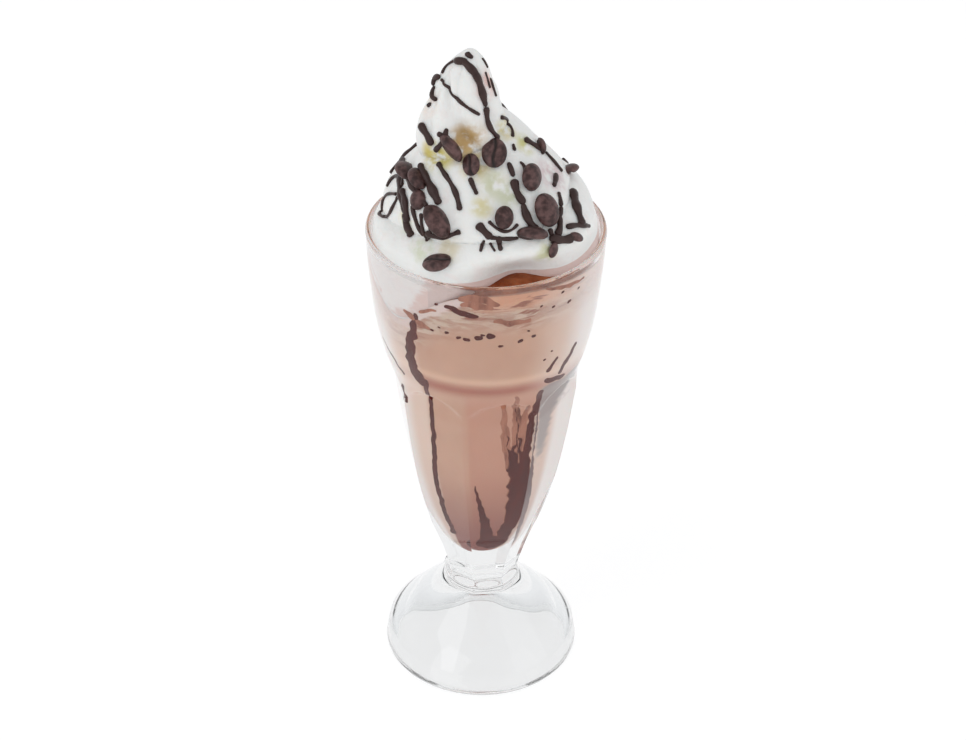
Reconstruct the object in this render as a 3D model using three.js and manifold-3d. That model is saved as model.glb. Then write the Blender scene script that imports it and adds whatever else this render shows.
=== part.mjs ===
// A chocolate milkshake in a footed soda glass, under a leaning peak of whipped cream that carries
// glossy chocolate coffee beans and a drizzle of chocolate sauce.
//
// Millimetres, +Z up. The origin is the centre of the foot's underside. Azimuths are in degrees round
// +Z, from the front (-Y) towards the right (+X).
import * as THREE from 'three';
import { mergeVertices } from 'three/addons/utils/BufferGeometryUtils.js';
import Module from 'manifold-3d';

const wasm = await Module();
wasm.setup();

// Glass: driving dimensions
const glassHeight = 200;
const rimRadius = 45;
const rimWall = 2.2;
const footRadius = 39.4;
const footEdge = 3;
const neckRadius = 14.5;
const neckHeight = 41;
const standingRing = 33.5;
const hollowHeight = 24;
const bowlFloor = 55.5;

// Flat panels pressed round the bowl, from a collar at the neck up to arches under the shoulder
const panelCount = 8;
const firstRidge = -11.5;
const panelFoot = 33;
const panelRunOut = 8;
const archTop = 144;
const archDrop = 7;
const archEdge = 3;

// Milkshake and cream. Gaps are left between pieces that touch
const clearance = 0.3;
const wallClearance = 0.45;
const drinkCentre = 190;
const foamHeight = 196;
const creamContact = 198.5;
const peakHeight = 272;
const peakLean = -8.4;

// Cream hangs deeper along the wall at two places, and at two others it keeps clear of the wall
const frontDip = { azimuth: -50, width: 25, depth: 18 };
const backDip = { azimuth: 150, width: 60, depth: 6 };
const frontBare = { azimuth: 17.5, width: 23, depth: 10.8 };
const rightBare = { azimuth: 62, width: 26, depth: 2.2 };

// The foam swells half-way out under the bare place
const foamMound = { azimuth: 20, width: 20, depth: 4.2 };

// The cream's rope: each turn climbs by `turnRise`, and a crease passes the front at `creaseHeight`.
// Flutes lie along the rope and lean by `fluteTwist` degrees for each millimetre
const turnRise = 25;
const creaseHeight = 238;
const ropeDepth = 4.2;
const fluteCount = 7;
const fluteDepth = 1.3;
const fluteTwist = 4;
const driftDepth = 1.1;

// Hollows in the cream: `width` in degrees and `rise` in climb, each to where the hollow has faded
const hollows = [
  { azimuth: -3, climb: 0.595, width: 15, rise: 0.045, depth: 2.6 },
  { azimuth: 11, climb: 0.35, width: 17, rise: 0.075, depth: 3 },
  { azimuth: -41, climb: 0.13, width: 13, rise: 0.07, depth: 1.6 },
];

// The crease between the peak's main lobe and a smaller one at its left, from climb `low` to `high`
const lobeCrease = { azimuth: -12, lean: -35, low: 0.6, high: 0.82, width: 12, depth: 2.4 };

// A bean's width and thickness, as shares of its length
const beanWidth = 0.8;
const beanThickness = 0.52;

// Mesh fineness
const glassColumns = 5 * panelCount;
const insideRows = 11;
const drinkColumns = 26;
const drinkRows = 16;
const creamColumns = 40;
const creamRows = 24;
const strandSides = 5;
const strandStep = 9.5;

const degrees = Math.PI / 180;

const at = (radius, height) => new THREE.Vector2(radius, height);

// A point at an azimuth, radius and height
const polar = (azimuth, radius, height) => new THREE.Vector3(
  radius * Math.sin(azimuth * degrees),
  -radius * Math.cos(azimuth * degrees),
  height,
);

// A bell round an azimuth: `depth` high there, fading out over `width` degrees to each side
function bell(azimuth, { azimuth: centre, width, depth }) {
  const away = THREE.MathUtils.euclideanModulo(azimuth - centre + 180, 360) - 180;
  return depth * Math.exp(-((away / width) ** 2));
}

// Glass profiles, as radius and height
const hollowCurve = new THREE.SplineCurve([
  at(0, hollowHeight), at(4, 23), at(9, 19.5), at(16, 14.5), at(24, 9), at(29.5, 4), at(32.5, 0.4),
  at(standingRing, 0),
]);
const domeCurve = new THREE.SplineCurve([
  at(38.2, 10), at(30, 19), at(21.2, 28), at(16.7, 33), at(15.3, 35.2), at(15.7, 37.8),
  at(neckRadius, neckHeight),
]);
const bowlCurve = new THREE.SplineCurve([
  at(neckRadius, neckHeight), at(18.8, 56), at(24, 70), at(29.5, 90), at(33.2, 110), at(36.2, 132),
]);
const shoulderCurve = new THREE.SplineCurve([
  at(36.2, 132), at(36.6, 141.5), at(39.1, 150), at(42.1, 164), at(44.2, 184), at(rimRadius, 199),
]);
const innerCurve = new THREE.SplineCurve([
  at(42.8, 199), at(41.1, 178), at(38.8, 161), at(35.6, 149), at(33, 138), at(30.4, 120),
  at(26.7, 100), at(20.8, 80), at(15.5, 70), at(10, 61), at(5, 57), at(0, bowlFloor),
]);

// Radius of the bowl's inner wall at a height
function innerRadius(height) {
  const points = innerCurve.getPoints(insideRows);
  const above = points.findIndex((point) => point.y <= height);
  if (above <= 0) return points[0].x;
  const upper = points[above - 1];
  const lower = points[above];
  return THREE.MathUtils.mapLinear(height, lower.y, upper.y, lower.x, upper.x);
}

// Points of a quarter or half circle in the profile, from one angle to another
function arc(centre, radius, from, to, steps) {
  return Array.from({ length: steps + 1 }, (_, step) => {
    const angle = THREE.MathUtils.lerp(from, to, step / steps) * degrees;
    return at(centre.x + radius * Math.cos(angle), centre.y + radius * Math.sin(angle));
  });
}

// How far the round wall is drawn in to a flat panel, as a share of the radius
function panelFactor(azimuth, height) {
  const pitch = 360 / panelCount;
  const fromRidge = THREE.MathUtils.euclideanModulo(azimuth - firstRidge, pitch);
  const fromMiddle = fromRidge - pitch / 2;
  const flat = Math.cos((pitch / 2) * degrees) / Math.cos(fromMiddle * degrees);
  const arch = archTop - archDrop * (fromMiddle / (pitch / 2)) ** 2;
  const below = 1 - THREE.MathUtils.smoothstep(height, arch - archEdge, arch);
  const above = THREE.MathUtils.smoothstep(height, panelFoot, panelFoot + panelRunOut);
  return THREE.MathUtils.lerp(1, flat, below * above);
}

// The glass: one pressed piece, a lathe whose outer wall is drawn in to the flat panels
function glassGeometry() {
  const rimRound = rimWall / 2;
  const underside = hollowCurve.getPoints(4);
  const foot = arc(at(footRadius - footEdge, footEdge), footEdge, -90, 20, 3);
  const outside = [
    ...domeCurve.getPoints(8), ...bowlCurve.getPoints(7).slice(1), ...shoulderCurve.getPoints(8).slice(1),
  ];
  const rim = arc(at(rimRadius - rimRound, glassHeight - rimRound), rimRound, 30, 150, 3);
  const inside = innerCurve.getPoints(insideRows);
  const profile = [...underside, ...foot, ...outside, ...rim, ...inside];
  const outerEnd = underside.length + foot.length + outside.length;
  const geometry = new THREE.LatheGeometry(profile, glassColumns, firstRidge * degrees);
  const position = geometry.attributes.position;
  for (let index = 0; index < position.count; index += 1) {
    const row = index % profile.length;
    if (row >= outerEnd) continue;
    const azimuth = Math.atan2(position.getX(index), position.getZ(index)) / degrees;
    const factor = panelFactor(azimuth, position.getY(index));
    position.setX(index, position.getX(index) * factor);
    position.setZ(index, position.getZ(index) * factor);
  }
  return geometry.rotateX(Math.PI / 2);
}

// A closed body from `place(along, azimuth)`: `along` runs from 0, the lower pole, to 1, the upper one
function poleToPole(columns, rows, place) {
  const geometry = new THREE.SphereGeometry(1, columns, rows);
  const { position, uv } = geometry.attributes;
  for (let index = 0; index < position.count; index += 1) {
    const azimuth = 360 * uv.getX(index);
    const point = place(uv.getY(index), azimuth);
    position.setXYZ(index, point.x, point.y, point.z);
  }
  return geometry;
}

// Where drink and cream meet: foam stands high at the front right, cream reaches down at the front left
function meetingHeight(azimuth, share) {
  const atWall = foamHeight - bell(azimuth, frontDip) - bell(azimuth, backDip);
  const swell = Math.sin(2 * Math.PI * Math.max(share - 0.5, 0));
  return THREE.MathUtils.lerp(drinkCentre, atWall, share ** 2) + bell(azimuth, foamMound) * swell;
}

// How far the cream's edge keeps clear of the wall, which leaves the foam bare
function bareWidth(azimuth) {
  return bell(azimuth, frontBare) + bell(azimuth, rightBare);
}

// The drink fills the bowl from its floor up to the foam
function milkshakeGeometry() {
  const wallShare = 0.75;
  return poleToPole(drinkColumns, drinkRows, (along, azimuth) => {
    if (along > wallShare) {
      const share = (1 - along) / (1 - wallShare);
      const radius = share * (innerRadius(meetingHeight(azimuth, 1)) - wallClearance);
      return polar(azimuth, radius, meetingHeight(azimuth, share));
    }
    const floor = bowlFloor + wallClearance;
    const height = THREE.MathUtils.lerp(floor, meetingHeight(azimuth, 1), (along / wallShare) ** 1.3);
    const radius = along === 0 ? 0 : Math.max(innerRadius(height) - wallClearance, 0);
    return polar(azimuth, radius, height);
  });
}

// The cream's outline, from where it meets the glass up to its peak
const creamCurve = new THREE.SplineCurve([
  at(42.2, creamContact), at(41, 205), at(37.8, 212), at(33.4, 219), at(24.8, 229), at(18.4, 239),
  at(13.2, 249), at(10.6, 258), at(7, 266), at(2.6, 271), at(0, peakHeight),
]);

// Depth of the crease beside the peak's main lobe
function creaseDepth(azimuth, climb) {
  const { azimuth: foot, lean, low, high, width, depth } = lobeCrease;
  const centre = foot + lean * ((climb - low) / (high - low)) ** 2;
  const begun = THREE.MathUtils.smoothstep(climb, low - 0.05, low);
  const ended = THREE.MathUtils.smoothstep(climb, high, high + 0.06);
  return bell(azimuth, { azimuth: centre, width, depth }) * begun * (1 - ended);
}

// Piped folds: a rope of cream wound upwards, with flutes along it, fading out at the edge and the tip
function creamRelief(azimuth, climb, height) {
  const turn = THREE.MathUtils.euclideanModulo((height - creaseHeight) / turnRise - azimuth / 360, 1);
  const fluteAngle = (fluteCount / 2) * azimuth + fluteTwist * (height - glassHeight);
  const ropeShare = 1 - THREE.MathUtils.smoothstep(climb, 0.7, 0.82);
  const rope = ropeShare * ropeDepth * (Math.sqrt(Math.sin(Math.PI * turn)) - 0.72);
  const flutes = fluteDepth * (Math.abs(Math.sin(fluteAngle * degrees)) - 0.6);
  const drift = driftDepth * Math.sin((2 * azimuth + 40) * degrees) * Math.sin(7 * climb + 1);
  const fade = THREE.MathUtils.smoothstep(climb, 0, 0.16) * (1 - THREE.MathUtils.smoothstep(climb, 0.86, 1));
  const hollowed = hollows.reduce((sum, hollow) => {
    const { climb: middle, rise } = hollow;
    return sum + bell(azimuth, hollow) * Math.exp(-(((climb - middle) / rise) ** 2));
  }, 0);
  return fade * (rope + flutes + drift - creaseDepth(azimuth, climb)) - hollowed;
}

// A point of the cream's outside: `climb` is 0 at the glass and 1 at the peak
function creamPoint(azimuth, climb) {
  const outline = creamCurve.getPointAt(THREE.MathUtils.clamp(climb, 0, 1));
  const edge = 1 - THREE.MathUtils.smoothstep(climb, 0, 0.17);
  const radius = outline.x - edge * bareWidth(azimuth) + creamRelief(azimuth, climb, outline.y);
  const point = polar(azimuth, Math.max(radius, 0), outline.y);
  const { smoothstep } = THREE.MathUtils;
  point.x += peakLean * (smoothstep(outline.y, 216, 252) - 0.25 * smoothstep(outline.y, 256, peakHeight));
  return point;
}

// Outward normal and uphill direction of the cream's outside
function creamFrame(azimuth, climb) {
  const step = 0.02;
  const uphill = creamPoint(azimuth, climb + step).sub(creamPoint(azimuth, climb - step)).normalize();
  const round = creamPoint(azimuth + 4, climb).sub(creamPoint(azimuth - 4, climb)).normalize();
  const outward = round.clone().cross(uphill).normalize();
  return { uphill, outward };
}

// The cream before it is cut to the foam: its underside is sunk a little below the meeting height
function creamGeometry() {
  const sunk = 3;
  const floorRows = 3;
  const sideRows = 3;
  const rows = floorRows + sideRows + creamRows;
  return poleToPole(creamColumns, rows, (along, azimuth) => {
    const row = along * rows;
    const edge = creamPoint(azimuth, 0);
    const edgeRadius = Math.hypot(edge.x, edge.y);
    const wall = innerRadius(meetingHeight(azimuth, 1)) - wallClearance;
    const footing = Math.min(edgeRadius, wall - bareWidth(azimuth));
    if (row <= floorRows) {
      const share = row / floorRows;
      return polar(azimuth, share * footing, meetingHeight(azimuth, share * (footing / wall)) - sunk);
    }
    if (row <= floorRows + sideRows) {
      const share = (row - floorRows) / sideRows;
      const bottom = meetingHeight(azimuth, footing / wall) - sunk;
      const height = THREE.MathUtils.lerp(bottom, creamContact, share);
      const radius = Math.min(innerRadius(height) - wallClearance - bareWidth(azimuth), edgeRadius);
      return polar(azimuth, radius, height);
    }
    return creamPoint(azimuth, (row - floorRows - sideRows) / creamRows);
  });
}

// Coffee beans of chocolate: `turn` leans the long axis clockwise from uphill, `roll` is 0 with the
// round back outwards, 90 on edge and 180 with the groove outwards
const beans = [
  { azimuth: 28, climb: 0.54, turn: 34, roll: 172, length: 11.4 },
  { azimuth: -3, climb: 0.505, turn: 0, roll: 150, length: 8.4 },
  { azimuth: -23, climb: 0.57, turn: -36, roll: 92, length: 11.6 },
  { azimuth: 46, climb: 0.425, turn: 64, roll: 20, length: 11 },
  { azimuth: 85, climb: 0.485, turn: 54, roll: 60, length: 6.6 },
  { azimuth: 96, climb: 0.3, turn: -68, roll: 90, length: 8.6 },
  { azimuth: 41, climb: 0.285, turn: 12, roll: 5, length: 12.4 },
  { azimuth: 12, climb: 0.288, turn: 32, roll: 20, length: 9 },
  { azimuth: 27, climb: 0.195, turn: -72, roll: 85, length: 11.8 },
  { azimuth: 53, climb: 0.133, turn: -66, roll: 60, length: 6.2 },
  { azimuth: 37, climb: 0.122, turn: 16, roll: 20, length: 6 },
  { azimuth: -25, climb: 0.09, turn: 72, roll: 130, length: 11 },
  { azimuth: -30, climb: 0.255, turn: -44, roll: 70, length: 13.4 },
  { azimuth: -47, climb: 0.317, turn: -26, roll: 10, length: 7.6 },
  { azimuth: -54, climb: 0.398, turn: -54, roll: 70, length: 9.6 },
  { azimuth: -73, climb: 0.372, turn: -80, roll: 85, length: 11 },
  { azimuth: 150, climb: 0.4, turn: 35, roll: 170, length: 10.8 },
  { azimuth: 172, climb: 0.2, turn: 70, roll: 10, length: 11.4 },
  { azimuth: -142, climb: 0.34, turn: -30, roll: 10, length: 10.2 },
  { azimuth: -160, climb: 0.58, turn: 10, roll: 160, length: 9.6 },
];

// A strand of sauce lies from one place on the cream to another, each given by azimuth and climb;
// `sway` bends it sideways and `rise` uphill
const strands = [
  { from: [-83, 0.912], to: [27, 0.868], sway: 12, rise: 0.04, width: 2.6 },
  { from: [12, 0.902], to: [39, 0.74], sway: 9, width: 2.6 },
  { from: [39, 0.74], to: [47, 0.585], sway: -6, width: 2.2 },
  { from: [-83, 0.83], to: [-89, 0.782], sway: -11, width: 2.4 },
  { from: [-89, 0.782], to: [-61, 0.745], sway: -5, rise: -0.014, width: 1.8 },
  { from: [-69, 0.633], to: [-46, 0.565], sway: 2, rise: 0.008, width: 2.6 },
  { from: [-26, 0.66], to: [-44, 0.54], sway: 4, width: 1.8 },
  { from: [77, 0.545], to: [85, 0.458], width: 2.1 },
  { from: [37, 0.503], to: [33, 0.448], width: 1.8 },
  { from: [32, 0.44], to: [30, 0.33], sway: -2, width: 2.7 },
  { from: [29, 0.333], to: [32, 0.195], sway: -3, width: 3 },
  { from: [54, 0.27], to: [42, 0.17], rise: -0.014, width: 2.4 },
  { from: [75, 0.367], to: [60, 0.352], width: 1.9 },
  { from: [60, 0.323], to: [54, 0.268], width: 1.8 },
  { from: [81, 0.247], to: [61, 0.155], sway: -3, rise: 0.018, width: 3.3 },
  { from: [50, 0.185], to: [68, 0.125], rise: 0.011, width: 1.9 },
  { from: [-42, 0.485], to: [-16, 0.323], sway: 6, rise: 0.023, width: 1.9 },
  { from: [-5, 0.275], to: [3, 0.215], width: 2.8 },
  { from: [37, 0.173], to: [51, 0.138], rise: -0.007, width: 3 },
  { from: [7, 0.223], to: [8, 0.16], width: 1.8 },
  { from: [40, 0.2], to: [38, 0.145], width: 1.9 },
  { from: [-54, 0.23], to: [-49, 0.118], width: 3.2 },
  { from: [-67, 0.3], to: [-51, 0.193], sway: 2, rise: 0.021, width: 2.8 },
  { from: [-60, 0.453], to: [-31, 0.328], sway: 2, rise: 0.012, width: 3 },
  { from: [-37, 0.185], to: [-15, 0.233], rise: -0.02, width: 2 },
  { from: [-100, 0.338], to: [-39, 0.305], sway: 3, rise: 0.043, width: 2.4 },
  { from: [-83, 0.312], to: [-52, 0.223], rise: 0.011, width: 2.4 },
  { from: [-76, 0.398], to: [-44, 0.343], width: 2 },
];

// The drizzle goes on round the back by a seeded rule: short strands that run downhill
const backStrands = 7;
const seed = 7;

// A repeatable row of numbers from 0 to 1
function seededDraws(start) {
  let state = start;
  return () => {
    state = (state * 16807) % 2147483647;
    return state / 2147483647;
  };
}

function backDrizzle() {
  const draw = seededDraws(seed);
  return Array.from({ length: backStrands }, (_, index) => {
    const azimuth = 112 + 142 * ((index + 0.5) / backStrands);
    const top = 0.25 + 0.6 * ((index * 5) % backStrands) / backStrands;
    const length = 0.08 + 0.08 * draw();
    const slant = 20 * (draw() - 0.5);
    return {
      from: [azimuth, top],
      to: [azimuth + slant, top - length],
      sway: 10 * (draw() - 0.5),
      width: 1.4 + draw(),
    };
  });
}

// A bean: an ellipsoid with a flatter front and a groove along it
function beanGeometry(length, growth) {
  const half = [beanWidth * length, length, beanThickness * length].map((size) => size / 2 + growth);
  const geometry = new THREE.SphereGeometry(1, 10, 6);
  geometry.rotateY(-Math.PI / 2);
  const position = geometry.attributes.position;
  for (let index = 0; index < position.count; index += 1) {
    const x = position.getX(index);
    const y = position.getY(index);
    let z = position.getZ(index);
    if (z > 0) z = 0.62 * z - 0.3 * z * Math.exp(-((x / 0.3) ** 2));
    position.setXYZ(index, x * half[0], y * half[1], z * half[2]);
  }
  return geometry;
}

// Turns and places a bean on the cream, its middle just above the surface
function beanMatrix({ azimuth, climb, turn, roll, length }) {
  const { uphill, outward } = creamFrame(azimuth, climb);
  const along = uphill.clone().applyAxisAngle(outward, -turn * degrees);
  const face = outward.clone().negate().applyAxisAngle(along, roll * degrees);
  const across = along.clone().cross(face);
  const centre = creamPoint(azimuth, climb).addScaledVector(outward, 0.1 * length);
  return new THREE.Matrix4().makeBasis(across, along, face).setPosition(centre);
}

// A strand: a small round section drawn along the cream's outside
function strandGeometry({ from, to, sway = 0, rise = 0, width }) {
  const stops = [0, 0.25, 0.5, 0.75, 1].map((share) => {
    const bend = Math.sin(Math.PI * share);
    const azimuth = THREE.MathUtils.lerp(from[0], to[0], share) + sway * bend;
    const climb = THREE.MathUtils.lerp(from[1], to[1], share) + rise * bend;
    const { outward } = creamFrame(azimuth, climb);
    return creamPoint(azimuth, climb).addScaledVector(outward, 0.2 * width);
  });
  const path = new THREE.CatmullRomCurve3(stops);
  const section = new THREE.Shape(Array.from({ length: strandSides }, (_, side) => {
    const angle = 2 * Math.PI * (side / strandSides);
    return new THREE.Vector2(Math.cos(angle), Math.sin(angle)).multiplyScalar(width / 2);
  }));
  const steps = Math.max(2, Math.round(path.getLength() / strandStep));
  return new THREE.ExtrudeGeometry(section, { steps, extrudePath: path });
}

// A closed three.js geometry as a manifold-3d solid
function toSolid(geometry) {
  const bare = geometry.clone();
  bare.deleteAttribute('normal');
  bare.deleteAttribute('uv');
  const merged = mergeVertices(bare, 1e-4);
  const mesh = new wasm.Mesh({
    numProp: 3,
    vertProperties: new Float32Array(merged.attributes.position.array),
    triVerts: new Uint32Array(merged.index.array),
  });
  return new wasm.Manifold(mesh);
}

// A manifold-3d solid as a three.js geometry
function toGeometry(solid) {
  const { vertProperties, triVerts } = solid.getMesh();
  const geometry = new THREE.BufferGeometry();
  geometry.setAttribute('position', new THREE.BufferAttribute(vertProperties, 3));
  geometry.setIndex(new THREE.BufferAttribute(triVerts, 1));
  return geometry;
}

// The cream with its sauce on it, cut to lie on the foam and to hold each bean in a hollow
function dressedCream() {
  const spread = 1.018;
  const foam = milkshakeGeometry().scale(spread, spread, 1).translate(0, 0, wallClearance);
  let cream = toSolid(creamGeometry());
  for (const strand of [...strands, ...backDrizzle()]) {
    cream = cream.add(toSolid(strandGeometry(strand)));
  }
  cream = cream.subtract(toSolid(foam));
  for (const bean of beans) {
    const hollow = beanGeometry(bean.length, clearance).applyMatrix4(beanMatrix(bean));
    cream = cream.subtract(toSolid(hollow));
  }
  return toGeometry(cream);
}

const clearGlass = new THREE.MeshStandardMaterial({ color: 0xe9eef0, roughness: 0.05, metalness: 0 });
const shake = new THREE.MeshStandardMaterial({ color: 0xc69c86, roughness: 0.5, metalness: 0 });
const whippedCream = new THREE.MeshStandardMaterial({ color: 0xf3f1ee, roughness: 0.6, metalness: 0 });
const darkChocolate = new THREE.MeshStandardMaterial({ color: 0x45302f, roughness: 0.3, metalness: 0 });

const model = new THREE.Group();

function addPiece(name, geometry, material) {
  const piece = new THREE.Mesh(geometry, material);
  piece.name = name;
  model.add(piece);
  return piece;
}

addPiece('glass', glassGeometry(), clearGlass);
addPiece('milkshake', milkshakeGeometry(), shake);
addPiece('whipped_cream', dressedCream(), whippedCream);
beans.forEach((bean, index) => {
  const name = `bean_${String(index + 1).padStart(2, '0')}`;
  addPiece(name, beanGeometry(bean.length, 0).applyMatrix4(beanMatrix(bean)), darkChocolate);
});

export default model;
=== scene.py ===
import math

import bpy
import numpy as np
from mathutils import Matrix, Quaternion, Vector, noise


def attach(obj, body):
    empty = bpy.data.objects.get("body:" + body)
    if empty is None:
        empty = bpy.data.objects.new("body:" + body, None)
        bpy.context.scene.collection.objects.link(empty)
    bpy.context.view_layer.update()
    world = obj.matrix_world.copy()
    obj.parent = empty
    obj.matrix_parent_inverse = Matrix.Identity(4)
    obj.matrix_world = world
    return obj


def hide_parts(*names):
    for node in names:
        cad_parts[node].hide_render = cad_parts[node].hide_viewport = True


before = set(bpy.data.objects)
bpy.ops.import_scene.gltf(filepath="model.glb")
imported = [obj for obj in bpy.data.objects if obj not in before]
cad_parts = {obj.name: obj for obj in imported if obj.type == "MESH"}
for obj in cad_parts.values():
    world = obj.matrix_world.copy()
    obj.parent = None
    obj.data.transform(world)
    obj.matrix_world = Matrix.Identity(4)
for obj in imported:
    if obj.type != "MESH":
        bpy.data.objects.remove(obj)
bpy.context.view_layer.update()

MM = 0.001

# Glass
GLASS_HEIGHT = 200
RIM_RADIUS = 45
RIM_WALL = 2.2
FOOT_RADIUS = 39.4
FOOT_EDGE = 3
PANEL_COUNT = 8
PANEL_ANGLE = 360 / PANEL_COUNT
FIRST_RIDGE = -11.5
PANEL_FOOT = 33
PANEL_RUN_OUT = 8
ARCH_TOP = 144
ARCH_DROP = 7
ARCH_EDGE = 3

# The glass's outline, as radius and height: over the foot, under it, up the bowl and down its inside
DOME = [(38.2, 10), (30, 19), (21.2, 28), (16.7, 33), (15.3, 35.2), (15.7, 37.8), (14.5, 41)]
HOLLOW = [(0, 24), (4, 23), (9, 19.5), (16, 14.5), (24, 9), (29.5, 4), (32.5, 0.4), (33.5, 0)]
BOWL = [(14.5, 41), (18.8, 56), (24, 70), (29.5, 90), (33.2, 110), (36.2, 132)]
SHOULDER = [(36.2, 132), (36.6, 141.5), (39.1, 150), (42.1, 164), (44.2, 184), (45, 199)]
INSIDE = [
    (42.8, 199), (41.1, 178), (38.8, 161), (35.6, 149), (33, 138), (30.4, 120),
    (26.7, 100), (20.8, 80), (15.5, 70), (10, 61), (5, 57), (0, 55.5),
]

# Drink and cream
WALL_REACH = 0.2
BOWL_FLOOR = 55.5
DRINK_CENTRE = 190
FOAM_HEIGHT = 196
CREAM_CONTACT = 198.5
PEAK_HEIGHT = 272

# The peak leans to the left between two heights, and its tip comes back by a share of that
PEAK_LEAN = -8.4
LEANING = (216, 252)
COMING_BACK = (256, PEAK_HEIGHT)
SHARE_BACK = 0.25

# Where the foam's edge dips and its top swells, and where the cream's edge keeps clear of the wall
FOAM_MOUND = {"centre": 20, "width": 20, "depth": 4.2}
FRONT_DIP = {"centre": -50, "width": 25, "depth": 18}
BACK_DIP = {"centre": 150, "width": 60, "depth": 6}
BARE_FOAM = {"centre": 17.5, "width": 23, "depth": 10.8}
RIGHT_GAP = {"centre": 62, "width": 26, "depth": 2.2}
EDGE_CLIMB = 0.17

# Folds of the cream: a rope that climbs by a rise in each turn, with flutes and a slow drift over it
TURN_RISE = 25
CREASE_HEIGHT = 238
ROPE_DEPTH = 4.2
ROPE_MEAN = 0.72
ROPE_END = (0.7, 0.82)
FLUTE_COUNT = 7
FLUTE_DEPTH = 1.3
FLUTE_MEAN = 0.6
FLUTE_TWIST = 4
DRIFT_DEPTH = 1.1

# Azimuths between which the colours of the drink's sides, with the reflection painted on them, turn into
# those of its back
BEHIND = (95, 135)

# Rings of light and shade that the glass's shoulder throws on the drink
BRIGHT_RING = {"height": 155.3, "width": 1.8}
DARK_RING = {"height": 150.5, "width": 2.6}

# Hollows in the cream: each one's width in degrees and its rise in climb, over which it fades
HOLLOWS = [
    {"azimuth": -3, "climb": 0.595, "width": 15, "rise": 0.045, "depth": 2.6},
    {"azimuth": 11, "climb": 0.35, "width": 17, "rise": 0.075, "depth": 3.0},
    {"azimuth": -41, "climb": 0.13, "width": 13, "rise": 0.07, "depth": 1.6},
]
LOBE_CREASE = {"foot": -12, "lean": -35, "low": 0.6, "high": 0.82, "width": 12, "depth": 2.4}

# The cream's outline, as radius and height
CREAM = [
    (42.2, CREAM_CONTACT), (41, 205), (37.8, 212), (33.4, 219), (24.8, 229), (18.4, 239),
    (13.2, 249), (10.6, 258), (7, 266), (2.6, 271), (0, PEAK_HEIGHT),
]

# A bean's sizes: its width, thickness and how far its middle lies above the cream, as shares of its length
BEAN_WIDTH = 0.8
BEAN_THICKNESS = 0.52
BEAN_LIFT = 0.1

# Its flatter side, as a share of the round one, and the groove there: depth, width and sideways sway,
# as shares of half the bean, and how fast the sway turns along it
FLAT_SIDE = 0.62
GROOVE = {"depth": 0.34, "width": 0.13, "sway": 0.09, "turns": 3.4}


def smooth_curve(stations, samples=600):
    """Points of a curve that runs smoothly through its stations."""
    stations = np.array(stations, float)
    last = len(stations) - 1
    place = np.linspace(0, last, samples)
    start = np.minimum(place.astype(int), last - 1)
    share = (place - start)[:, None]
    here, ahead = stations[start], stations[start + 1]
    slope_here = (ahead - stations[np.maximum(start - 1, 0)]) / 2
    slope_ahead = (stations[np.minimum(start + 2, last)] - here) / 2
    cubic = 2 * here - 2 * ahead + slope_here + slope_ahead
    square = 3 * ahead - 3 * here - 2 * slope_here - slope_ahead
    return cubic * share**3 + square * share**2 + slope_here * share + here


def ease(value, low, high):
    """0 below low and 1 above high, with a smooth change between."""
    share = np.clip((value - low) / (high - low), 0, 1)
    return share * share * (3 - 2 * share)


def bell(azimuth, centre, width, depth):
    """A bell round an azimuth, fading out over its width to each side."""
    away = (azimuth - centre + 180) % 360 - 180
    return depth * np.exp(-((away / width) ** 2))


def polar(azimuth, radius, height):
    """Points at azimuths, radii and heights."""
    angle = np.radians(azimuth)
    parts = np.broadcast_arrays(radius * np.sin(angle), -radius * np.cos(angle), height)
    return np.stack(parts, axis=-1).astype(float)


def unit(vectors):
    """Vectors brought to a length of 1."""
    return vectors / np.linalg.norm(vectors, axis=-1, keepdims=True)


def distance_along(spine):
    """How far each point of a spine is from its start."""
    steps = np.linalg.norm(np.diff(spine, axis=0), axis=1)
    return np.concatenate([[0], np.cumsum(steps)])


inside_curve = smooth_curve(INSIDE)[::-1]


def inner_radius(height):
    """Radius of the glass's inner wall at a height."""
    return np.interp(height, inside_curve[:, 1], inside_curve[:, 0])


def meeting_height(azimuth, share):
    """Height of the foam under the cream, at a share of the way from the axis to the wall."""
    at_wall = FOAM_HEIGHT - bell(azimuth, **FRONT_DIP) - bell(azimuth, **BACK_DIP)
    mound = bell(azimuth, **FOAM_MOUND) * np.sin(2 * math.pi * np.clip(share - 0.5, 0, 0.5))
    return DRINK_CENTRE + (at_wall - DRINK_CENTRE) * share**2 + mound


def bare_foam(azimuth):
    """How far the cream's edge keeps clear of the wall, which leaves the foam bare."""
    return bell(azimuth, **BARE_FOAM) + bell(azimuth, **RIGHT_GAP)


cream_curve = smooth_curve(CREAM)
cream_lengths = distance_along(cream_curve)
cream_shares = cream_lengths / cream_lengths[-1]


def cream_relief(azimuth, climb, height):
    """Piped folds: a rope of cream wound upwards, with flutes along it."""
    turn = ((height - CREASE_HEIGHT) / TURN_RISE - azimuth / 360) % 1
    flute_angle = FLUTE_COUNT / 2 * azimuth + FLUTE_TWIST * (height - GLASS_HEIGHT)
    rope_share = 1 - ease(climb, *ROPE_END)
    rope = rope_share * ROPE_DEPTH * (np.sqrt(np.maximum(np.sin(np.pi * turn), 0)) - ROPE_MEAN)
    flutes = FLUTE_DEPTH * (np.abs(np.sin(np.radians(flute_angle))) - FLUTE_MEAN)
    drift = DRIFT_DEPTH * np.sin(np.radians(2 * azimuth + 40)) * np.sin(7 * climb + 1)
    fade = ease(climb, 0, 0.16) * (1 - ease(climb, 0.86, 1))
    hollows = sum(
        bell(azimuth, hollow["azimuth"], hollow["width"], hollow["depth"])
        * np.exp(-(((climb - hollow["climb"]) / hollow["rise"]) ** 2))
        for hollow in HOLLOWS
    )
    return fade * (rope + flutes + drift - lobe_crease(azimuth, climb)) - hollows


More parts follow.
